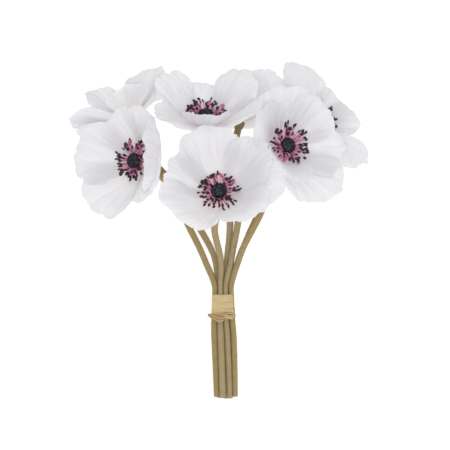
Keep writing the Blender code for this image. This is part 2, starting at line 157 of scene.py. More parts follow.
# The uneven waves of the cloth: (waves, depth, drift) for each pleat and else (depth, waves, shift).
PLEATS = ((4.7, 0.28, 0.6), (10.3, 0.24, -0.8), (21.7, 0.24, 1.0), (39.1, 0.20, -1.4))
PLEAT_WANDER = ((0.05, 3.1, 1.9),)
RIM_SCALLOPS = ((0.020, 5.1, 5), (0.014, 13.3, 3), (0.003, 37, 7), (0.003, 61, 2))
CURL_WAVES = ((0.4, 4.1, 6),)
# Each petal's rim has two notches, at (reach, turn, start) on its width.
NOTCHES = ((0.6, 3.3, 0), (0.75, 5.9, 2))
BOWL_STEPS = 20
BOWL_START = 0.02
BOWL_TURN = 0.9
BOWL_FLATNESS = 1.3
PETAL_COLUMNS = 89
PETAL_ROWS = 36
RIM_ROW = 0.994
ROW_CROWDING = 0.85
HEART_RADIUS = 5.5
HEART_PROFILE = ((0.0, -1.6), (3.6, -1.6), (5.2, -1.1), (HEART_RADIUS, 0.2), (5.2, 1.2), (3.6, 1.7),
                 (0.0, 1.7))
HEART_SIDES = 40
BACK_FACE = 10.0
TABLE_GAP = 0.05
CLOTH_WHITE = (0.775, 0.767, 0.788, 1)
CLOTH_STREAK_AND_SHADE = (0.56, 0.54, 0.615, 1)
CLOTH_WARM_SHADE = (0.765, 0.715, 0.64, 1)
CLOTH_BLUSH = (0.74, 0.25, 0.36, 1)


class Wire:
    """A socket in a node tree: a sum written on it adds its Math nodes, and node() adds any other node."""

    def __init__(self, tree, socket=None):
        self.tree = tree
        self.socket = socket

    def node(self, kind, settings=(), sockets=(), output=0):
        """Add a node, set it up, fill its sockets with values or links, and give one of its outputs."""
        made = self.tree.nodes.new(kind)
        for name, value in dict(settings).items():
            setattr(made, name, value)
        for name, value in dict(sockets).items():
            links = value if isinstance(value, list) else [value]
            for link in links:
                if isinstance(link, Wire):
                    self.tree.links.new(link.socket, made.inputs[name])
                else:
                    made.inputs[name].default_value = link
        return Wire(self.tree, made.outputs[output])

    def maths(self, operation, *terms):
        return self.node("ShaderNodeMath", {"operation": operation}, dict(enumerate(terms)))

    def __add__(self, other):
        return self.maths("ADD", self, other)

    def __radd__(self, other):
        return self.maths("ADD", other, self)

    def __sub__(self, other):
        return self.maths("SUBTRACT", self, other)

    def __rsub__(self, other):
        return self.maths("SUBTRACT", other, self)

    def __mul__(self, other):
        return self.maths("MULTIPLY", self, other)

    def __rmul__(self, other):
        return self.maths("MULTIPLY", other, self)

    def __truediv__(self, other):
        return self.maths("DIVIDE", self, other)

    def __pow__(self, other):
        return self.maths("POWER", self, other)

    def sine(self):
        return self.maths("SINE", self)

    def cosine(self):
        return self.maths("COSINE", self)

    def fade(self, start, end):
        """0 below start and 1 above end, or the other way round, with a soft turn between them."""
        return self.node("ShaderNodeMapRange", {"interpolation_type": "SMOOTHSTEP"},
                         {"Value": self, "From Min": start, "From Max": end})

    def tint(self, under, over):
        """The under colour where this value is 0 and the over colour where it is 1."""
        return self.node("ShaderNodeMix", {"data_type": "RGBA"}, {0: self, 6: under, 7: over}, output=2)

    def part(self, index):
        """One of the three parts of a vector."""
        return self.node("ShaderNodeSeparateXYZ", (), {0: self}, output=index)

    def trio(self, x, y, z):
        """A vector of three values."""
        return self.node("ShaderNodeCombineXYZ", (), {0: x, 1: y, 2: z})

    def noise(self, scale, detail=2.0, roughness=0.5):
        """Soft noise from 0 to 1 on this vector."""
        return self.node("ShaderNodeTexNoise", (), {"Vector": self, "Scale": scale, "Detail": detail,
                                                    "Roughness": roughness})

    def stored(self, name, output=2):
        """A number kept on the mesh under a name or, with output 1, a vector."""
        return self.node("ShaderNodeAttribute", {"attribute_name": name}, output=output)

    def own_place(self):
        """Where a point lies in the object's own measure."""
        return self.node("ShaderNodeTexCoord", output=3)


def new_finish(name, **constants):
    """A Principled material with its constant sockets set, and a wire to build the rest on."""
    made = bpy.data.materials.new(name)
    made.use_nodes = True
    shader = made.node_tree.nodes["Principled BSDF"]
    for key, value in constants.items():
        shader.inputs[key.replace("_", " ")].default_value = value
    return made, shader, Wire(made.node_tree)


def paint(wire, shader, colour, relief=None, strength=0.0, depth=0.0):
    """Lead a colour, and a fine relief where there is one, into a material."""
    wire.tree.links.new(colour.socket, shader.inputs["Base Color"])
    if relief is not None:
        bump = wire.node("ShaderNodeBump", (), {"Strength": strength, "Distance": depth, "Height": relief})
        wire.tree.links.new(bump.socket, shader.inputs["Normal"])


# Light passes into the thin cloth, and a very small glow stands for what comes through it from behind.  Shade
# is painted into the colour as well: darker in the valleys of the pleats, and warm cream towards the middle of
# each bowl.
petal_cloth, shader, wire = new_finish("petal_cloth", Roughness=0.72, Sheen_Weight=0.15, Sheen_Roughness=0.5,
                                       Specular_IOR_Level=0.25, Subsurface_Weight=0.6,
                                       Subsurface_Radius=(1.0, 0.95, 0.92), Subsurface_Scale=0.0026,
                                       Emission_Color=(0.97, 0.97, 1.0, 1), Emission_Strength=0.10)
lie = wire.stored("lie", 1)
turn = lie.part(0)
distance = lie.part(1)
number = lie.part(2)
inner_face = number.fade(BACK_FACE - 0.4, BACK_FACE - 0.6)
broad = wire.trio(turn * 10.0, distance * 0.045, number * 3.7).noise(1.0, 2.0)
fine = wire.trio(turn * 46.0, distance * 0.05, number * 5.1).noise(1.0, 3.0, 0.65)
cloud = wire.own_place().noise(55.0, 3.0)
weave = wire.own_place().noise(2600.0, 1.0)
outer_part = distance.fade(14.0, 34.0)
warm_shade_part = distance.fade(32.0, 8.0)
stained_part = distance.fade(14.5, 6.0) * inner_face
# Painted shade in the pleat valleys, mixed with the cloth's own vein streaks and mottle.
streaks_and_shade = wire.stored("crease") * 0.45 + broad.fade(0.42, 0.72) * 0.35 + fine.fade(0.45, 0.72) * 0.30
colour = (streaks_and_shade * outer_part * 0.52 + cloud.fade(0.45, 0.8) * 0.12).tint(CLOTH_WHITE, CLOTH_STREAK_AND_SHADE)
# Painted shade: a warm cream deepening towards the middle of the bowl, on both faces.
colour = (warm_shade_part * 0.35).tint(colour, CLOTH_WARM_SHADE)
colour = (stained_part * (0.2 + cloud * 0.6)).tint(colour, CLOTH_BLUSH)
paint(wire, shader, colour, fine * 1.2 + broad * 0.8 + weave * 0.15, strength=0.45, depth=0.00025)


def bowl(bloom, azimuth, distance, petal):
    """Radius, height and slope on the bloom's bowl, at a distance along it from the middle."""
    cup = np.radians(bloom.cup + bloom.skew * np.cos(azimuth - math.radians(bloom.skew_side)))
    radius = np.zeros_like(distance)
    height = np.zeros_like(distance)
    step = distance / BOWL_STEPS
    for index in range(BOWL_STEPS):
        along = (index + 0.5) * step / petal.length
        turn = np.pi * (BOWL_START + BOWL_TURN * along ** BOWL_FLATNESS)
        slope = cup * np.sin(turn) + math.radians(petal.lift) * along + math.radians(petal.rise) * along ** 2
        radius += step * np.cos(slope)
        height += step * np.sin(slope)
    return radius, height, slope


def folds_along(across, along, seed, shift, rows):
    """Uneven folds that run along a piece of cloth or paper, about -1 to 1."""
    folds = 0
    for waves, depth, drift in rows:
        folds = folds + depth * np.sin(waves * across + drift * along + seed * (shift + waves))
    return folds


def waves_at(value, seed, rows):
    """The sum of a few sine waves at a value, each shifted in its own way by the seed."""
    return sum(depth * np.sin(waves * value + shift * seed) for depth, waves, shift in rows)


def hump(value, middle, width):
    """1 at the middle, falling softly to 0 on both sides."""
    return np.exp(-((value - middle) / width) ** 2)


def stacked(*parts):
    """Points or other rows of numbers, put together from grids that are spread to one shape."""
    return np.stack(np.broadcast_arrays(*parts), axis=-1)


def petal_sheet(bloom, number, petal):
    """The middle of a petal's thickness: rows of points from root to rim, where each lies, and how much shade
    is painted in its pleat valleys.
    """
    across = np.sin(np.linspace(-np.pi / 2, np.pi / 2, PETAL_COLUMNS))[None, :]
    along = np.append(np.linspace(0, 1, PETAL_ROWS - 1)[:-1], [RIM_ROW, 1.0])[:, None] ** ROW_CROWDING
    azimuth = np.radians(petal.azimuth + across * petal.half_angle)
    seed = number * 2.4 + bloom.phase
    shoulder = np.clip(1 - np.abs(across) ** SHOULDER_POWER, 0, 1) ** SHOULDER_ROUNDNESS
    scallop = waves_at(across, seed, RIM_SCALLOPS)
    for reach, turn, start in NOTCHES:
        scallop = scallop - NOTCH_DEPTH * hump(across, reach * np.sin(seed * turn + start), NOTCH_WIDTH)
    rim = petal.length * (SIDE_LENGTH + (1 - SIDE_LENGTH) * shoulder + scallop * shoulder ** 0.5)
    distance = PETAL_ROOT + (rim - PETAL_ROOT) * along
    share = distance / petal.length
    radius, height, slope = bowl(bloom, azimuth, distance, petal)
    away = petal.layer * (ROOT_LAYER_GAP + RIM_LAYER_GAP * share)
    away = away + RUFFLE * share ** 3 * np.sin(RUFFLE_WAVES * azimuth + bloom.phase)
    open_part = np.clip((share - PLEAT_START) / (PLEAT_END - PLEAT_START), 0, 1)
    wander = across + waves_at(along, seed, PLEAT_WANDER)
    folds = folds_along(wander, along, seed, PLEAT_SHIFT, PLEATS) * open_part ** 2 * (3 - 2 * open_part)
    away = away + PLEAT_DEPTH * folds
    bend = RIM_WAVE_BEND * np.sin(3 * across + seed)
    away = away + RIM_WAVE * share ** 6 * np.sin(RIM_WAVES * across + seed * 4 + bend)
    curled_part = np.clip((along - 1 + CURL_LENGTH) / CURL_LENGTH, 0, 1)
    away = away - RIM_CURL * curled_part ** 2 * (CURL_EVENNESS + waves_at(across, seed, CURL_WAVES))
    away = away + SIDE_CURL * np.abs(across) ** 5 * share ** 2 * np.sin(seed * 8 + np.sign(across))
    radius = radius - away * np.sin(slope)
    height = height + away * np.cos(slope) + PETAL_ROOT_HEIGHT
    points = stacked(radius * np.sin(azimuth), radius * np.cos(azimuth), height)
    where = stacked(across * math.radians(petal.half_angle), distance, number)
    # Painted shade: the valleys of the pleats are darkened, the deeper the more.
    return points, where, np.clip(CREASE_SHADE_START - folds, 0, 1)


def shell_from_sheet(points, where, crease, thickness):
    """A closed thin shell round a sheet of points: its corners, their places on it, the shade painted in its
    creases, and faces.
    """
    down = np.gradient(points, axis=0)
    sideways = np.gradient(points, axis=1)
    normal = np.cross(sideways, down)
    normal /= np.maximum(np.linalg.norm(normal, axis=-1, keepdims=True), 1e-9)
    rows, columns = points.shape[:2]
    front = points + normal * thickness / 2
    back = (points - normal * thickness / 2)[1:-1, 1:-1]
    front[0], front[-1] = points[0], points[-1]
    front[:, 0], front[:, -1] = points[:, 0], points[:, -1]
    ids = np.arange(rows * columns).reshape(rows, columns)
    under = ids.copy()
    under[1:-1, 1:-1] = np.arange(back[..., 0].size).reshape(rows - 2, columns - 2) + ids.size
    faces = []
    for grid, turned in ((ids, False), (under, True)):
        corners = [grid[:-1, :-1], grid[:-1, 1:], grid[1:, 1:], grid[1:, :-1]]
        if turned:
            corners.reverse()
        faces.append(stacked(*corners).reshape(-1, 4))
    corners = np.concatenate([front.reshape(-1, 3), back.reshape(-1, 3)])
    back_places = where[1:-1, 1:-1].reshape(-1, 3) + (0, 0, BACK_FACE)
    places = np.concatenate([where.reshape(-1, 3), back_places])
    # The back face gets painted shade where the front has its ridges, which are valleys seen from behind.
    crease_shades = np.concatenate([crease.ravel(), 1 - crease[1:-1, 1:-1].ravel()])
    return corners, places, crease_shades, np.concatenate(faces)


def rest_on_table(points, place, thickness):
    """Lift the points of a sheet that would reach into the table until they lie on it."""
    matrix = np.array(place)
    world_up = np.array(TABLE_UP)
    height = (points @ matrix[:3, :3].T + matrix[:3, 3]) @ world_up + REST_HEIGHT
    low = np.maximum(thickness / 2 + TABLE_GAP - height, 0)
    return points + low[..., None] * (world_up @ matrix[:3, :3])


def keep_values(mesh, name, values):
    """Store a number or a vector for each corner of a mesh under a name."""
    kind, field = ("FLOAT_VECTOR", "vector") if np.ndim(values) > 1 else ("FLOAT", "value")
    mesh.attributes.new(name, kind, "POINT").data.foreach_set(field, np.ravel(values))


def thin_piece(name, parts, place, finish):
    """One object of thin cloth or paper from (corners, places, painted crease shades, faces) parts, placed in
    the bunch.
    """
    corners, places, crease_shades, _ = zip(*parts)
    faces = []
    first = 0
    for part in parts:
        faces += [[corner + first for corner in face] for face in part[3]]
        first += len(part[0])
    mesh = bpy.data.meshes.new(name)
    mesh.from_pydata(np.concatenate(corners).tolist(), [], faces)
    mesh.transform(bunch_scale @ place)
    keep_values(mesh, "lie", np.concatenate(places))
    # How much shade is painted at each corner, where it lies in a crease.
    keep_values(mesh, "crease", np.concatenate(crease_shades))
    mesh.polygons.foreach_set("use_smooth", [True] * len(mesh.polygons))
    mesh.materials.append(finish)
    return placed(name, mesh)


def hand_in(piece, node):
    """Tell the frame what a piece rides on, and hide the part of the model that it stands for."""
    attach(piece, "root")
    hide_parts(node)


def turned_solid(profile, sides):
    """Corners and faces of a closed solid turned about Z, whose profile starts and ends on the axis."""
    corners = [(0.0, 0.0, profile[0][1])]
    for radius, height in profile[1:-1]:
        for side in range(sides):
            turn = 2 * math.pi * side / sides
            corners.append((radius * math.cos(turn), radius * math.sin(turn), height))
    corners.append((0.0, 0.0, profile[-1][1]))
    last = len(corners) - 1
    faces = []
    for side in range(sides):
        after = (side + 1) % sides
        faces.append((0, 1 + after, 1 + side))
        for ring in range(len(profile) - 3):
            low = 1 + ring * sides
            faces.append((low + side, low + after, low + sides + after, low + sides + side))
        faces.append((last - sides + side, last - sides + after, last))
    return corners, faces


for bloom in BLOOMS:
    place = bloom_place(bloom)
    parts = []
    for number, row in enumerate(bloom.petals):
        points, where, crease = petal_sheet(bloom, number, Petal(*row))
        points = rest_on_table(points, place, PETAL_THICKNESS)
        parts.append(shell_from_sheet(points, where, crease, PETAL_THICKNESS))
    corners, faces = turned_solid(HEART_PROFILE, HEART_SIDES)
    places = np.tile([0.0, HEART_RADIUS, BACK_FACE], (len(corners), 1))
    parts.append((corners, places, np.zeros(len(corners)), faces))
    piece = thin_piece("petal_cloth_" + bloom.name, parts, place, petal_cloth)
    hand_in(piece, "petals_" + bloom.name)


# Stamens.  A ring of a hundred moulded threads stands round the middle of each bloom: pink filaments, each
# with a dark spindle of an anther at its tip, the inner ones steep and the outer ones low over the petals.
STAMEN_COUNT = 100
STAMEN_SIZES = {"Root Radius": 4.2, "Root Height": 2.3, "Inner Reach": 7.4, "Outer Reach": 14.8,
                "Inner Steepness": 58.0, "Filament Radius": 0.40, "Anther Length": 3.3, "Anther Width": 1.8}
BUNCHES = 7.0
BUNCHING = 0.11
REACH_SPREAD = 0.8
TURN_WANDER = 0.22
REACH_WANDER = 1.2
STEEPNESS_WANDER = 9.0
ROOT_WANDER = 0.3
ROLL_WANDER = 0.9
THREAD_BOW = 0.14
THREAD_STEPS = 7
THREAD_SIDES = 6
ANTHER_SIDES = 8
ANTHER_RINGS = 7
ANTHER_DROOP = 0.7
DROOP_WANDER = 0.45
ANTHER_TURN_WANDER = 0.4
ANTHER_LENGTHS = (0.8, 1.15)
ANTHER_WIDTHS = (0.75, 1.2)
TONES = (0.0, 0.7)
PINK_MIDDLE = 0.2
PINK_SPREAD = 0.28
# Each ring has a side where the anthers are pinker, a side where the threads reach further and by how much,
# and an angle at which its outer threads stand off the petals, all in degrees but the share of reach.
RING_TURNS = {
    "front": (60, 250, 0.08, 23), "left": (70, 90, 0.07, 22), "top": (0, 90, 0.02, 30),
    "right": (230, 60, 0.10, 31), "rear_left": (90, 0, 0.05, 30), "rear_middle": (180, 0, -0.03, 46),
    "rear_right": (270, 0, 0.04, 24)}
GOLDEN_TURN = math.radians(137.508)
FILAMENT_BASE = (0.58, 0.07, 0.18, 1)
FILAMENT_PINK = (0.82, 0.25, 0.43, 1)
FILAMENT_PALE = (0.90, 0.56, 0.68, 1)
ANTHER_DARK = (0.016, 0.012, 0.024, 1)
ANTHER_PLUM = (0.09, 0.018, 0.06, 1)
ANTHER_PINK = (0.62, 0.17, 0.32, 1)

filament_finish, shader, wire = new_finish("filament_pink", Roughness=0.55)
along = wire.stored("along")
tone = wire.stored("tone")
colour = along.fade(0.0, 0.45).tint(FILAMENT_BASE, FILAMENT_PINK)
colour = (tone.fade(0.35, 0.9) * along.fade(0.1, 0.7)).tint(colour, FILAMENT_PALE)
paint(wire, shader, colour)

anther_finish, shader, wire = new_finish("anther_dark", Roughness=0.5)
tone = wire.stored("tone")
speck = wire.own_place().noise(1800.0, 2.0)
colour = (tone.fade(0.3, 0.75) * 0.8 * speck.fade(0.3, 0.6)).tint(ANTHER_DARK, ANTHER_PLUM)
colour = tone.fade(0.86, 0.92).tint(colour, ANTHER_PINK)
paint(wire, shader, colour, speck, strength=0.5, depth=0.0002)


def new_growth(name, inputs):
    """A Geometry Nodes tree with a named input for each entry, and wires to those inputs."""
    tree = bpy.data.node_groups.new(name, "GeometryNodeTree")
    tree.interface.new_socket("Geometry", in_out="INPUT", socket_type="NodeSocketGeometry")
    tree.interface.new_socket("Geometry", in_out="OUTPUT", socket_type="NodeSocketGeometry")
    for label, kind in inputs.items():
        tree.interface.new_socket(label, in_out="INPUT", socket_type="NodeSocket" + kind)
    entry = tree.nodes.new("NodeGroupInput")
    return tree, {label: Wire(tree, entry.outputs[label]) for label in ("Geometry", *inputs)}


def close_growth(tree, result):
    """End a tree by handing its result to the output."""
    leave = tree.nodes.new("NodeGroupOutput")
    tree.links.new(result.socket, leave.inputs[0])


def random_number(wire, low, high, seed):
    """A random number for each point, fixed by the seed."""
    return wire.node("FunctionNodeRandomValue", {"data_type": "FLOAT"}, {2: low, 3: high, 8: seed}, output=1)


def wander(wire, most, seed):
    """A random number for each point, as far below 0 as above it at most."""
    return random_number(wire, -most, most, seed)


def kept_number(wire, geometry, name, value):
    """The geometry with a number stored on each of its points under a name."""
    return wire.node("GeometryNodeStoreNamedAttribute", {"data_type": "FLOAT", "domain": "POINT"},
                     {"Geometry": geometry, "Name": name, "Value": value})


def in_finish(wire, geometry, finish):
    """The geometry in a material."""
    return wire.node("GeometryNodeSetMaterial", (), {"Geometry": geometry, "Material": finish})


def real_copies(wire, points, thing, rotation, scale):
    """Copies of a thing on points, turned and scaled there and made real."""
    copies = wire.node("GeometryNodeInstanceOnPoints", (), {"Points": points, "Instance": thing,
                                                            "Rotation": rotation, "Scale": scale})
    return wire.node("GeometryNodeRealizeInstances", (), {"Geometry": copies})


def grow(name, tree, values, source=None):
    """The plain mesh that a tree makes with these inputs, as a new object."""
    start = placed(name, source or bpy.data.meshes.new(name))
    modifier = start.modifiers.new("growth", "NODES")
    modifier.node_group = tree
    for item in tree.interface.items_tree:
        if item.in_out == "INPUT" and item.name in values:
            modifier[item.identifier] = values[item.name]
    depsgraph = bpy.context.evaluated_depsgraph_get()
    mesh = bpy.data.meshes.new_from_object(start.evaluated_get(depsgraph), depsgraph=depsgraph)
    start.modifiers.clear()
    bpy.data.objects.remove(start, do_unlink=True)
    mesh.name = name
    return placed(name, mesh)


ring_sizes = ("Outer Steepness", "Pink Turn", "Lean Turn", "Lean")
stamen_tree, entry = new_growth("stamen_ring", {
    "Count": "Int", "Seed": "Int", **dict.fromkeys((*STAMEN_SIZES, *ring_sizes), "Float"),
    "Filament Finish": "Material", "Anther Finish": "Material"})
wire = Wire(stamen_tree)
seed = entry["Seed"]
index = wire.node("GeometryNodeInputIndex")
share = index / entry["Count"]
turn = index * GOLDEN_TURN + wander(wire, TURN_WANDER, seed)
bunching = turn * BUNCHES + seed
turn = turn + bunching.sine() * BUNCHING
reach = entry["Inner Reach"] + (entry["Outer Reach"] - entry["Inner Reach"]) * share ** REACH_SPREAD
leaning = turn - entry["Lean Turn"]
reach = reach * (1.0 + entry["Lean"] * leaning.cosine())
reach = reach + wander(wire, REACH_WANDER, seed + 1)
steepness = entry["Inner Steepness"] + (entry["Outer Steepness"] - entry["Inner Steepness"]) * share
steepness = steepness + wander(wire, STEEPNESS_WANDER, seed + 2)
steepness = steepness * (math.pi / 180)
length = (reach - entry["Root Radius"]) / steepness.cosine()
cosine = turn.cosine()
sine = turn.sine()
root = wire.trio(cosine * entry["Root Radius"], sine * entry["Root Radius"],
                 entry["Root Height"] + wander(wire, ROOT_WANDER, seed + 3))
flat = length * steepness.cosine()
rise = length * steepness.sine()
tip = root.node("ShaderNodeVectorMath", {"operation": "ADD"},
                {0: root, 1: wire.trio(cosine * flat, sine * flat, rise)})
roots = wire.node("GeometryNodePoints", (), {"Count": entry["Count"], "Position": root})
pinkness = turn - entry["Pink Turn"]
tone = random_number(wire, *TONES, seed + 4) + PINK_MIDDLE + pinkness.cosine() * PINK_SPREAD
roots = kept_number(wire, roots, "tone", tone)
roll = wander(wire, ROLL_WANDER, seed + 9)
facing = wire.node("FunctionNodeEulerToRotation", (), {0: wire.trio(roll, steepness * -1.0, turn)})
thread = wire.node("GeometryNodeCurveQuadraticBezier", (), {
    "Resolution": THREAD_STEPS, "Start": (0, 0, 0), "Middle": (0.5, 0, THREAD_BOW), "End": (1, 0, 0)})
thread = kept_number(wire, thread, "along", wire.node("GeometryNodeSplineParameter", output=0))
threads = real_copies(wire, roots, thread, facing, wire.trio(length, length, length))
round_thread = wire.node("GeometryNodeCurvePrimitiveCircle", (), {
    "Resolution": THREAD_SIDES, "Radius": entry["Filament Radius"]})
threads = wire.node("GeometryNodeCurveToMesh", (), {"Curve": threads, "Profile Curve": round_thread,
                                                    "Fill Caps": True})
threads = in_finish(wire, threads, entry["Filament Finish"])
spindle = wire.node("GeometryNodeMeshUVSphere", (), {
    "Segments": ANTHER_SIDES, "Rings": ANTHER_RINGS, "Radius": 0.5})
droop = steepness * -ANTHER_DROOP + wander(wire, DROOP_WANDER, seed + 5)
lying = wire.node("FunctionNodeEulerToRotation", (), {
    0: wire.trio(0.0, droop, turn + wander(wire, ANTHER_TURN_WANDER, seed + 6))})
width = entry["Anther Width"] * random_number(wire, *ANTHER_WIDTHS, seed + 7)
size = wire.trio(entry["Anther Length"] * random_number(wire, *ANTHER_LENGTHS, seed + 8), width, width)
tips = wire.node("GeometryNodeSetPosition", (), {"Geometry": roots, "Position": tip})
anthers = real_copies(wire, tips, spindle, lying, size)
anthers = in_finish(wire, anthers, entry["Anther Finish"])
ring = wire.node("GeometryNodeJoinGeometry", (), {"Geometry": [threads, anthers]})
close_growth(stamen_tree, wire.node("GeometryNodeSetShadeSmooth", (), {"Geometry": ring}))

for order, bloom in enumerate(BLOOMS):
    pink_turn, lean_turn, lean, outer_steepness = RING_TURNS[bloom.name]
    piece = grow("stamen_ring_" + bloom.name, stamen_tree, {
        **STAMEN_SIZES, "Count": STAMEN_COUNT, "Seed": 11 * order + 3,
        "Outer Steepness": float(outer_steepness), "Pink Turn": math.radians(pink_turn),
        "Lean Turn": math.radians(lean_turn), "Lean": lean,
        "Filament Finish": filament_finish, "Anther Finish": anther_finish})
    piece.data.transform(bunch_scale @ bloom_place(bloom))
    hand_in(piece, "stamens_" + bloom.name)


# Bosses.  The dark button in the middle of each bloom is a domed bead covered in short dark flock, which the
# light catches as a blue-grey bloom on its upper side.  That sheen is painted into the colour as blue-grey
# flecks all over the bead.
BOSS_PROFILE = ((0.0, 0.0), (2.9, 0.0), (3.0, 1.0), (3.1, 2.2), (4.5, 2.5), (5.3, 3.3), (5.6, 4.4),
                (5.35, 5.6), (4.6, 6.6), (3.3, 7.4), (1.7, 7.85), (0.0, 8.0))
BOSS_SEAT = 2.0
BOSS_SIDES = 48
GRAINS_PER_AREA = 7.5
GRAIN_SIZE = 0.34
GRAIN_SIDES = 4
GRAIN_RADIUS = 0.35
BOSS_DARK = (0.003, 0.004, 0.008, 1)
BOSS_SHEEN_FLECK = (0.115, 0.130, 0.205, 1)

boss_finish, shader, wire = new_finish("boss_flock", Roughness=0.42, Specular_IOR_Level=0.45)
speck = wire.own_place().noise(850.0, 3.0, 0.6)
# Painted sheen: blue-grey flecks over the dark flock.
paint(wire, shader, speck.fade(0.48, 0.68).tint(BOSS_DARK, BOSS_SHEEN_FLECK), speck, strength=0.8, depth=0.0005)


def uneven(wire, body, distance):
    """The body with its skin moved out along its normals by a distance that varies over it."""
    away = wire.node("ShaderNodeVectorMath", {"operation": "SCALE"},
                     {0: wire.node("GeometryNodeInputNormal"), "Scale": distance})
    return wire.node("GeometryNodeSetPosition", (), {"Geometry": body, "Offset": away})


def flocked(wire, entry, body, density, sides, radius, scale):
    """The body with thin open cones standing all over its skin, in the tree's finish."""
    fibre = wire.node("GeometryNodeMeshCone", {"fill_type": "NONE"}, {
        "Vertices": sides, "Radius Top": 0.0, "Radius Bottom": radius, "Depth": 1.0})
    scatter = wire.node("GeometryNodeDistributePointsOnFaces", (), {
        "Mesh": body, "Density": density, "Seed": entry["Seed"]}, output="Points")
    standing = Wire(wire.tree, scatter.socket.node.outputs["Rotation"])
    fibres = real_copies(wire, scatter, fibre, standing, scale)
    whole = wire.node("GeometryNodeJoinGeometry", (), {"Geometry": [body, fibres]})
    return in_finish(wire, whole, entry["Finish"])


boss_tree, entry = new_growth("boss_flock", {"Grains": "Float", "Grain Size": "Float", "Seed": "Int",
                                             "Finish": "Material"})
wire = Wire(boss_tree)
size = entry["Grain Size"]
body = uneven(wire, entry["Geometry"], wire.node("GeometryNodeInputPosition").noise(0.9, 2.0) * 0.5 - 0.25)
grain_scale = wire.trio(size, size, size * random_number(wire, 0.7, 1.5, entry["Seed"] + 1))
close_growth(boss_tree, flocked(wire, entry, body, entry["Grains"], GRAIN_SIDES, GRAIN_RADIUS, grain_scale))

corners, faces = turned_solid([(radius, height + BOSS_SEAT) for radius, height in BOSS_PROFILE], BOSS_SIDES)
boss_core = bpy.data.meshes.new("boss_core")
boss_core.from_pydata(corners, [], faces)
boss_core.polygons.foreach_set("use_smooth", [True] * len(faces))
for order, bloom in enumerate(BLOOMS):
    piece = grow("boss_flock_" + bloom.name, boss_tree, {
        "Grains": GRAINS_PER_AREA, "Grain Size": GRAIN_SIZE, "Seed": 5 * order + 1,
        "Finish": boss_finish}, boss_core)
    piece.data.transform(bunch_scale @ bloom_place(bloom))
    hand_in(piece, "boss_" + bloom.name)


# Stems.  Each is a wire core in a soft sleeve, coated with tan flock.  They run side by side through the tie,
# fan out above it and swell into a small calyx under each bloom, where shade is painted on them in darker
# olive.
CUT_SWAY = 1.4
CUT_STEP = 0.9
CUT_TURN = 2.4
CUT_STEPS = 14
TIE_TOP = 8.2
BELOW_TIE = 14.0
ABOVE_TIE = 12.0
CALYX_RADIUS = 4.2
CALYX_LENGTH = 8.0
CALYX_TOP = -1.9
CALYX_STEPS = 8
CALYX_SHADE_LENGTH = 34.0
APPROACH_SHARE = 0.2
STEEP_APPROACH_SHARE = 0.12
STEEP_APPROACHES = ("left", "top")
STEM_SPANS = (20, 14, 10, 10)
STEM_SIZES = {"Wander": 0.09, "Fibres": 0.9, "Fibre Length": 0.55}
STEM_SIDES = 20
FIBRE_SIDES = 3
FIBRE_RADIUS = 0.09
STEM_TAN = (0.43, 0.315, 0.125, 1)
STEM_PALE = (0.52, 0.43, 0.26, 1)
STEM_OLIVE = (0.16, 0.11, 0.035, 1)
CALYX_SHADE_OLIVE = (0.13, 0.10, 0.045, 1)
# Where each cut end lies beside its place in the tie, and how plump each stem is below the tie, in the order
# of the blooms.  Above the tie they are all alike.
CUT_OFFSETS = ((0.3, 0.5), (0.4, -0.3), (1.0, 1.6), (0.7, -0.9), (0.6, 1.6), (1.4, -0.5), (0.6, 1.6))
STEM_PLUMPNESS = (1.16, 0.97, 1.0, 0.94, 1.08, 1.0, 1.0)
FAN_PLUMPNESS = 1.13
# Where each stem bends between the tie and the way to its bloom.
STEM_BENDS = {"front": (-1.2, 32, 4), "left": (-15.2, 33, 3), "top": (4.1, 33, -3), "right": (14.1, 33, 4),
              "rear_left": (-6.2, 33, -3.5), "rear_middle": (7.8, 33, 2.5), "rear_right": (14.8, 34, -3.5)}

stem_finish, shader, wire = new_finish("stem_flock", Roughness=0.85, Specular_IOR_Level=0.2)
mottle = wire.own_place().noise(160.0, 3.0)
grain = wire.own_place().noise(2200.0, 2.0)
pale_part = wire.stored("tone") * 0.75 + mottle.fade(0.35, 0.7) * 0.3 + grain.fade(0.5, 0.8) * 0.25
colour = pale_part.tint(STEM_TAN, STEM_PALE)
colour = (grain.fade(0.55, 0.30) * 0.5).tint(colour, STEM_OLIVE)
# Painted shade: darker olive near the calyx, under the bloom.
colour = (wire.stored("calyx") * 0.6).tint(colour, CALYX_SHADE_OLIVE)
paint(wire, shader, colour, grain, strength=0.7, depth=0.0002)


def smooth_path(knots, steps):
    """Points on a smooth curve through the knots, with a number of steps a span; it sets out along Y."""
    spans = [(after - before).length for before, after in zip(knots, knots[1:])]
    headings = [Vector((0, 1, 0))]
    for index in range(1, len(knots) - 1):
        arriving = (knots[index] - knots[index - 1]) / spans[index - 1]
        leaving = (knots[index + 1] - knots[index]) / spans[index]
        headings.append((arriving * spans[index] + leaving * spans[index - 1]).normalized())
    headings.append((knots[-1] - knots[-2]).normalized())
    path = []
    for index, span in enumerate(spans):
        for step in range(steps[index]):
            t = step / steps[index]
            start = knots[index] * (2 * t ** 3 - 3 * t ** 2 + 1)
            start += headings[index] * span * (t ** 3 - 2 * t ** 2 + t)
            end = knots[index + 1] * (3 * t ** 2 - 2 * t ** 3)
            end += headings[index + 1] * span * (t ** 3 - t ** 2)
            path.append(start + end)
    return path + [knots[-1]]


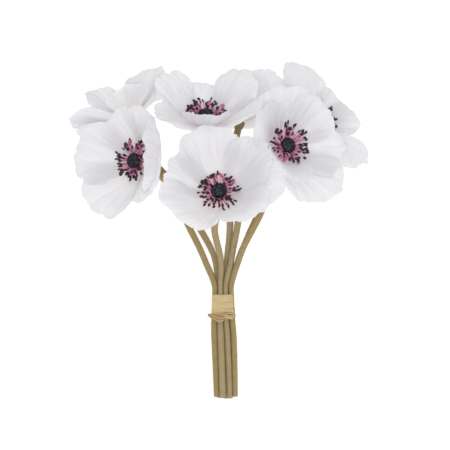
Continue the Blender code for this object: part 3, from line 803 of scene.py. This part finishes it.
def stem_path(order, bloom):
    """The middle line of a stem, from its cut end to the underside of its bloom, and its radii."""
    x = bloom.slot[0] * STEM_SPACING
    z = bloom.slot[1] * ROW_SPACING
    place = bloom_place(bloom)
    calyx = place @ Vector((0, 0, CALYX_TOP - CALYX_LENGTH))
    top = place @ Vector((0, 0, CALYX_TOP))
    reach = (Vector(bloom.way) - calyx).length
    share = STEEP_APPROACH_SHARE if bloom.name in STEEP_APPROACHES else APPROACH_SHARE
    approach = place @ Vector((0, 0, CALYX_TOP - CALYX_LENGTH - share * reach))
    aside, up = CUT_OFFSETS[order]
    cut_y = CUT_STEP * (1 + math.sin(CUT_TURN * order)) - CUT_LENGTH
    cut = Vector((x + CUT_SWAY + aside, cut_y, z + up))
    below = Vector((x, -BELOW_TIE, z))
    path = [cut.lerp(below, step / CUT_STEPS) for step in range(CUT_STEPS + 1)]
    knots = [Vector((x, ABOVE_TIE, z)), Vector(STEM_BENDS[bloom.name]), Vector(bloom.way), approach, calyx]
    path += smooth_path(knots, STEM_SPANS)
    radii = []
    for point in path:
        plumpness = FAN_PLUMPNESS if point.y > 0 else STEM_PLUMPNESS[order]
        fade = min(max(abs(point.y) - TIE_TOP, 0) / ABOVE_TIE, 1)
        radii.append(STEM_RADIUS * (1 + (plumpness - 1) * fade))
    for step in range(1, CALYX_STEPS + 1):
        swell = step / CALYX_STEPS
        path.append(calyx.lerp(top, swell))
        radii.append(STEM_RADIUS + (CALYX_RADIUS - STEM_RADIUS) * swell * swell * (3 - 2 * swell))
    return path, radii


stem_tree, entry = new_growth("flocked_stem", {
    "Sides": "Int", **dict.fromkeys(STEM_SIZES, "Float"), "Seed": "Int", "Finish": "Material"})
wire = Wire(stem_tree)
round_stem = wire.node("GeometryNodeCurvePrimitiveCircle", (), {"Resolution": entry["Sides"], "Radius": 1.0})
sleeve = wire.node("GeometryNodeCurveToMesh", (), {"Curve": entry["Geometry"], "Profile Curve": round_stem,
                                                   "Scale": wire.node("GeometryNodeInputRadius"),
                                                   "Fill Caps": True})
lumps = wire.node("GeometryNodeInputPosition").noise(0.35, 3.0) * 2.0 - 1.0
sleeve = uneven(wire, sleeve, lumps * entry["Wander"])
fibre_scale = wire.trio(1.0, 1.0, entry["Fibre Length"] * random_number(wire, 0.5, 1.3, entry["Seed"] + 1))
whole = flocked(wire, entry, sleeve, entry["Fibres"], FIBRE_SIDES, FIBRE_RADIUS, fibre_scale)
close_growth(stem_tree, wire.node("GeometryNodeSetShadeSmooth", (), {"Geometry": whole}))

# The tie squeezes the soft sleeves together, so that the bundle is slimmest there.
GATHER_AT = (-75.0, -45.0, -22.0, -13.0, -6.0, 0.0, 9.0, 20.0, 40.0, 56.0, 85.0, 300.0)
GATHER_WIDTH = (0.87, 0.93, 0.96, 0.91, 0.82, 0.78, 0.77, 0.83, 0.85, 0.90, 1.0, 1.0)
GATHER_SHIFT = (1.2, 1.3, 1.2, 1.0, 0.9, 0.8, 0.8, 0.6, 0.0, 0.0, 0.0, 0.0)
GATHER_SOFTNESS = 4.0


def gathered(points):
    """The points of the bundle, drawn in sideways as the tie holds it."""
    width = 0
    shift = 0
    for step in (-1.0, -0.5, 0.0, 0.5, 1.0):
        beside = points[:, 1] + step * GATHER_SOFTNESS
        width = width + np.interp(beside, GATHER_AT, GATHER_WIDTH) / 5
        shift = shift + np.interp(beside, GATHER_AT, GATHER_SHIFT) / 5
    return stacked(points[:, 0] * width + shift, points[:, 1], points[:, 2])


for order, bloom in enumerate(BLOOMS):
    path, radii = stem_path(order, bloom)
    line = bpy.data.curves.new("stem_line", "CURVE")
    line.dimensions = "3D"
    spline = line.splines.new("POLY")
    spline.points.add(len(path) - 1)
    for point, here, radius in zip(spline.points, path, radii):
        point.co = (*here, 1.0)
        point.radius = radius
    piece = grow("flocked_stem_" + bloom.name, stem_tree, {
        **STEM_SIZES, "Sides": STEM_SIDES, "Seed": order + 1, "Finish": stem_finish}, line)
    flat = np.empty(3 * len(piece.data.vertices))
    piece.data.vertices.foreach_get("co", flat)
    points = flat.reshape(-1, 3)
    tone = 0.5 + 0.5 * math.sin(3.7 * order + 0.8)
    keep_values(piece.data, "tone", np.full(len(points), tone))
    # How much shade is painted on the stem near its bloom.
    below_bloom = np.linalg.norm(points - np.array(path[-1]), axis=-1)
    keep_values(piece.data, "calyx", np.clip(1.2 - below_bloom / CALYX_SHADE_LENGTH, 0, 1))
    points = gathered(points)
    above_table = points @ np.array(TABLE_UP) + REST_HEIGHT
    points += np.maximum(TABLE_GAP - above_table, 0)[:, None] * np.array(TABLE_UP)
    piece.data.vertices.foreach_set("co", points.ravel())
    piece.data.transform(bunch_scale)
    hand_in(piece, "stem_" + bloom.name)


# The tie.  One strip of crinkled paper raffia is wound flat round the stems.  Its end is twisted into a cord,
# taken once more round below the flat turns and tucked under itself, which leaves a knot and two short ends.
GAP = 0.25
TIE_BOTTOM = -7.2
TIE_EDGE = 0.25
PAPER_THICKNESS = 0.28
CORNER_STEPS = 25
RIDGES = ((2.1, 0.30, 0.31), (3.7, 0.26, -0.23), (6.1, 0.24, 0.17), (9.7, 0.16, -0.41))
RIDGE_SHIFT = 1.3
FLAT_START = -0.30
FLAT_END = 1.22
FLAT_STEPS = 230
FLAT_ROWS = 60
FLAT_GAP = 0.12
LAYER_STEP = 0.31
LOW_EDGE_WAVES = ((0.35, 2.3, 0.4), (0.12, 23, 0))
HIGH_EDGE_WAVES = ((0.28, 3.1, 1.1), (0.08, 31, 1))
GATHER_X = 1.0
GATHER_TURN = 1.2
RIDGE_HEIGHT = 0.13
SWELL_HEIGHT = 0.55
SWELL_WIDTH = 0.55
UPPER_FOLD_X = 1.5
UPPER_FOLD_Y = -4.0
UPPER_FOLD_SLANT = 0.20
UPPER_FOLD_DEPTH = 0.38
UPPER_FOLD_WIDTH = 0.30
LOWER_FOLD_Y = -5.7
LOWER_FOLD_SLANT = 0.03
LOWER_FOLD_DEPTH = 0.32
LOWER_FOLD_WIDTH = 0.35
EDGE_LIFT = 0.25
EDGE_WIDTH = 0.7
SHADED_SIDE = 0.5
TWIST_RADIUS = 1.15
TWIST_MIDDLE = ROW_SPACING / 2 + STEM_RADIUS + GAP + TWIST_RADIUS
TWIST_FRONT = ROW_SPACING / 2 + STEM_RADIUS + GAP + 2 * TWIST_RADIUS
TWIST_Y = -8.0
TWIST_STEPS = 220
TWIST_SIDES = 26
TWIST_TURNS = 6
TWIST_CORE = 0.86
TWIST_SWAY = 0.35
SIDE_SLIMMING = 0.45
TWIST_WAVES = ((0.12, 14 * math.pi, 0), (0.10, 22 * math.pi, 2))
END_STEPS = 50
END_ROWS = 44
END_SMOOTHINGS = 3
END_FOLD_DEPTH = 0.16
END_CROWN = 0.18
KNOT_STEPS = 34
KNOT_ROWS = 30
KNOT_START = -75
KNOT_END = 100
KNOT_X = 2.4
KNOT_RISE = 0.5
KNOT_RADIUS = 1.75
KNOT_HALF_WIDTH = 1.5
KNOT_PINCH = 0.6
PAPER_STRAW = (0.70, 0.50, 0.235, 1)
PAPER_PALE = (0.88, 0.72, 0.45, 1)
PAPER_FLECK_AND_SHADE = (0.34, 0.22, 0.09, 1)

paper_finish, shader, wire = new_finish("raffia_paper", Roughness=0.6, Specular_IOR_Level=0.35)
lie = wire.stored("lie", 1)
along = lie.part(0)
across = lie.part(1)
layer = lie.part(2)
fibres = wire.trio(along * 0.10, across * 3.2, layer * 4.3).noise(1.0, 4.0, 0.6)
broad = wire.trio(along * 0.05, across * 0.7, layer * 2.1).noise(1.0, 2.0)
colour = (fibres.fade(0.35, 0.7) * 0.8).tint(PAPER_STRAW, PAPER_PALE)
# Dark flecks of the paper's own fibres, in the same colour as the painted shade.
colour = (broad.fade(0.50, 0.30) * 0.35 + fibres.fade(0.48, 0.30) * 0.40).tint(colour, PAPER_FLECK_AND_SHADE)
# Painted shade: the folds, the grooves of the cord and the right side of the flat turns are darkened.
colour = (wire.stored("crease").fade(0.45, 1.0) * 0.85).tint(colour, PAPER_FLECK_AND_SHADE)
paint(wire, shader, colour, fibres, strength=0.6, depth=0.0003)


def round_bundle(turns, distance):
    """X and Z on a line wound round the stems, at a distance outside their middles; its way out; its length.

    turns counts from the middle of the lower side, and a whole turn leads back there.
    """
    half = ROW_SPACING / 2
    corners = ((STEM_SPACING, -half, 270, 330), (1.5 * STEM_SPACING, half, 330, 450),
               (-1.5 * STEM_SPACING, half, 450, 570), (-STEM_SPACING, -half, 570, 630))
    line = [(0.0, -half, 270.0)]
    for x, z, first, last in corners:
        line += [(x, z, angle) for angle in np.linspace(first, last, CORNER_STEPS)]
    line.append((0.0, -half, 630.0))
    line = np.array(line)
    outward = stacked(np.cos(np.radians(line[:, 2])), np.sin(np.radians(line[:, 2])))
    walked = line[:, :2] + outward * (STEM_RADIUS + GAP)
    length = np.append(0, np.cumsum(np.linalg.norm(np.diff(walked, axis=0), axis=-1)))
    share = length / length[-1]
    turned = np.mod(turns, 1.0)
    angle = np.radians(np.interp(turned, share, line[:, 2]))
    x = np.interp(turned, share, line[:, 0]) + distance * np.cos(angle)
    z = np.interp(turned, share, line[:, 1]) + distance * np.sin(angle)
    return x, z, stacked(np.cos(angle), 0, np.sin(angle)), length[-1]


def flat_turns():
    """The strip wound flat round the stems, with a few folds where it gathers towards the twist."""
    turns = np.linspace(FLAT_START, FLAT_END, FLAT_STEPS)[:, None]
    share = np.linspace(0, 1, FLAT_ROWS)[None, :]
    wound = turns - FLAT_START
    low = TIE_BOTTOM + waves_at(turns, 1, LOW_EDGE_WAVES)
    high = TIE_TOP - TIE_EDGE + waves_at(turns, 1, HIGH_EDGE_WAVES)
    across = low + (high - low) * share
    distance = STEM_RADIUS + GAP + FLAT_GAP + LAYER_STEP * wound
    x, z, outward, length = round_bundle(turns, distance)
    along = turns * length
    layer = np.floor(wound)
    gather = 1 / (1 + np.exp(-(x - GATHER_X) / GATHER_TURN)) * (z > 0)
    upper_valley = UPPER_FOLD_Y + UPPER_FOLD_SLANT * (x - UPPER_FOLD_X)
    lower_valley = LOWER_FOLD_Y + LOWER_FOLD_SLANT * x
    ridges = folds_along(across, along, 1.0 + layer, RIDGE_SHIFT, RIDGES)
    upper_fold = gather * hump(across, upper_valley, UPPER_FOLD_WIDTH)
    lower_fold = hump(across, lower_valley, LOWER_FOLD_WIDTH)
    swell = gather * hump(across, (upper_valley + lower_valley) / 2, SWELL_WIDTH)
    lift = RIDGE_HEIGHT * ridges + SWELL_HEIGHT * swell
    lift = lift - UPPER_FOLD_DEPTH * upper_fold - LOWER_FOLD_DEPTH * lower_fold
    lift = lift + EDGE_LIFT * hump(across, high, EDGE_WIDTH) * (np.sin(13 * turns) * 0.5 + 0.5)
    points = stacked(x, across, z) + outward * lift[..., None]
    # Painted shade in the valleys of the ridges and folds, and over the right side, where the band turns round
    # in shadow.
    right_side = np.clip((outward[..., 0] - SHADED_SIDE) / 0.3, 0, 1)
    crease = np.clip(0.25 - 0.25 * ridges + 0.8 * upper_fold + 0.6 * lower_fold + right_side, 0, 1)
    return points, stacked(along, across, layer), crease


def twisted_turn():
    """The twisted cord that goes once round below the flat turns: its corners, places, the shade painted in
    its grooves, and faces.
    """
    turns = np.linspace(0, 1, TWIST_STEPS, endpoint=False)[:, None]
    angle = np.linspace(0, 2 * np.pi, TWIST_SIDES, endpoint=False)[None, :]
    spin = 2 * np.pi * TWIST_TURNS * turns
    lay = angle - spin
    ply = 0.22 * np.cos(2 * lay) + 0.09 * np.cos(5 * lay + 1) + 0.05 * np.sin(9 * angle + spin)
    side = np.clip(np.abs(np.sin(2 * np.pi * turns)) * 1.6 - 0.6, 0, 1)
    thickness = TWIST_RADIUS * (1 - SIDE_SLIMMING * side)
    radius = thickness * TWIST_CORE * (1 + ply + waves_at(turns, 1, TWIST_WAVES))
    x, z, outward, length = round_bundle(turns, STEM_RADIUS + GAP + thickness)
    y = TWIST_Y + TWIST_SWAY * np.sin(2 * np.pi * turns + 1.0)
    points = stacked(x, y, z) + outward * (radius * np.cos(angle))[..., None]
    points[..., 1] += radius * np.sin(angle)
    ids = np.arange(TWIST_STEPS * TWIST_SIDES).reshape(TWIST_STEPS, TWIST_SIDES)
    ahead = np.roll(ids, -1, axis=0)
    faces = stacked(ids, np.roll(ids, -1, axis=1), np.roll(ahead, -1, axis=1), ahead)
    places = stacked(turns * length, angle * TWIST_RADIUS + 4 * turns, 5)
    # Painted shade in the grooves between the plies of the cord.
    crease_shades = (0.5 - 0.5 * np.cos(2 * lay)) ** 4
    return points.reshape(-1, 3), places.reshape(-1, 3), crease_shades.ravel(), faces.reshape(-1, 4)


def smoothed(values):
    """A column of values, each but the first and last averaged with its neighbours."""
    middle = (values[:-2] + 2 * values[1:-1] + values[2:]) / 4
    return np.concatenate([values[:1], middle, values[-1:]])


def loose_end(stations, folds, seed):
    """A short end of the strip, with folds along it, through its stations."""
    stations = np.array(stations) + (0, 0, 0, TWIST_FRONT)
    order = np.linspace(0, len(stations) - 1, END_STEPS)
    knots = np.arange(len(stations))
    x, top, low, z = [np.interp(order, knots, stations[:, column])[:, None] for column in range(4)]
    for _ in range(END_SMOOTHINGS):
        x, top, low, z = [smoothed(values) for values in (x, top, low, z)]
    share = np.linspace(0, 1, END_ROWS)[None, :]
    y = top + (low - top) * share
    width = top - low
    fold = np.abs(np.sin(np.pi * folds * (share + 0.05 * order[:, None]) + seed))
    bend = END_FOLD_DEPTH * width * (0.5 - fold) + 0.06 * np.sin(23 * share + seed * 3 + order[:, None])
    crown = END_CROWN * width * np.sin(np.pi * share)
    points = stacked(x, y, z + bend + crown)
    # Painted shade in the folds of the end.
    return points, stacked(x + 3 * seed, share * 4.0, seed), fold ** 7


def knot_wrap():
    """The turn of paper that holds the twisted cord at the knot."""
    angle = np.linspace(math.radians(KNOT_START), math.radians(KNOT_END), KNOT_STEPS)[:, None]
    share = np.linspace(0, 1, KNOT_ROWS)[None, :]
    half_width = KNOT_HALF_WIDTH - KNOT_PINCH * np.cos(angle * 1.2)
    x = KNOT_X + (share - 0.5) * 2 * half_width + 0.5 * np.sin(angle)
    radius = KNOT_RADIUS + 0.16 * np.sin(11 * share + 2 * angle) + 0.10 * np.sin(23 * share - angle)
    y = TWIST_Y + KNOT_RISE + radius * np.sin(angle)
    points = stacked(x, y, TWIST_MIDDLE + radius * np.cos(angle))
    # Painted shade in the valleys of the knot's ripples.
    return points, stacked(angle * 2.2, share * 4.0, 9), (0.5 - 0.5 * np.sin(11 * share + 2 * angle)) ** 3


# Each station of an end is (x, y at its top edge, y at its low edge, z from the front of the twisted turn).
LEFT_END = ((2.6, -7.4, -9.6, 0.7), (0.8, -7.0, -11.8, 1.0), (-2.2, -6.7, -12.9, 1.0),
            (-4.6, -6.4, -11.9, 0.7), (-6.8, -6.2, -10.6, 0.1), (-8.8, -6.0, -9.0, -0.6),
            (-10.7, -6.3, -7.4, -1.2))
RIGHT_END = ((0.8, -6.6, -9.6, 0.4), (3.6, -6.6, -10.2, 0.5), (6.2, -7.4, -10.2, 0.1),
             (8.2, -8.4, -10.8, -0.9))
sheets = [flat_turns(), knot_wrap(), loose_end(LEFT_END, 2.5, 0.6), loose_end(RIGHT_END, 2.0, 2.2)]
parts = [shell_from_sheet(*sheet, PAPER_THICKNESS) for sheet in sheets] + [twisted_turn()]
# The flat turns, the knot and the twisted turn are drawn in with the stems that they hold.
WOUND_PARTS = (0, 1, 4)
for number in WOUND_PARTS:
    parts[number] = (gathered(parts[number][0]), *parts[number][1:])
hand_in(thin_piece("raffia_tie", parts, Matrix(), paper_finish), "tie")


# The table and the light.  The table is plain and pale, and lit so evenly that it reads as a white ground.
# Three soft lamps stand above it, of which the strongest lights the bowls of the blooms from in front.
TABLE_SIZE = 3.0
TABLE_WHITE = (0.93, 0.93, 0.93, 1)
WORLD_LIGHT = 0.54
# Each lamp is (name, place in metres, watts, width in metres).
LAMPS = (("key", (-0.35, 0.45, 1.25), 1.05, 0.6), ("fill", (0.70, -0.35, 1.1), 1.0, 1.0),
         ("front", (0.05, -0.45, 1.15), 3.1, 0.5))
table_finish, shader, wire = new_finish("table_white", Base_Color=TABLE_WHITE, Roughness=0.9,
                                        Specular_IOR_Level=0.1, Emission_Color=TABLE_WHITE,
                                        Emission_Strength=0.5)
mesh = bpy.data.meshes.new("table")
half = TABLE_SIZE / 2
mesh.from_pydata([(-half, -half, 0), (half, -half, 0), (half, half, 0), (-half, half, 0)], [], [(0, 1, 2, 3)])
mesh.materials.append(table_finish)
table = placed("table", mesh)

for name, where, power, size in LAMPS:
    light = bpy.data.lights.new(name, "AREA")
    light.energy = power
    light.size = size
    lamp = placed(name, light)
    lamp.location = where
    lamp.rotation_euler = (-Vector(where)).to_track_quat("-Z", "Y").to_euler()

world = bpy.data.worlds.new("studio")
world.use_nodes = True
background = world.node_tree.nodes["Background"]
background.inputs["Color"].default_value = (1.0, 1.0, 1.0, 1)
background.inputs["Strength"].default_value = WORLD_LIGHT
bpy.context.scene.world = world
bpy.context.scene.view_settings.view_transform = "Standard"
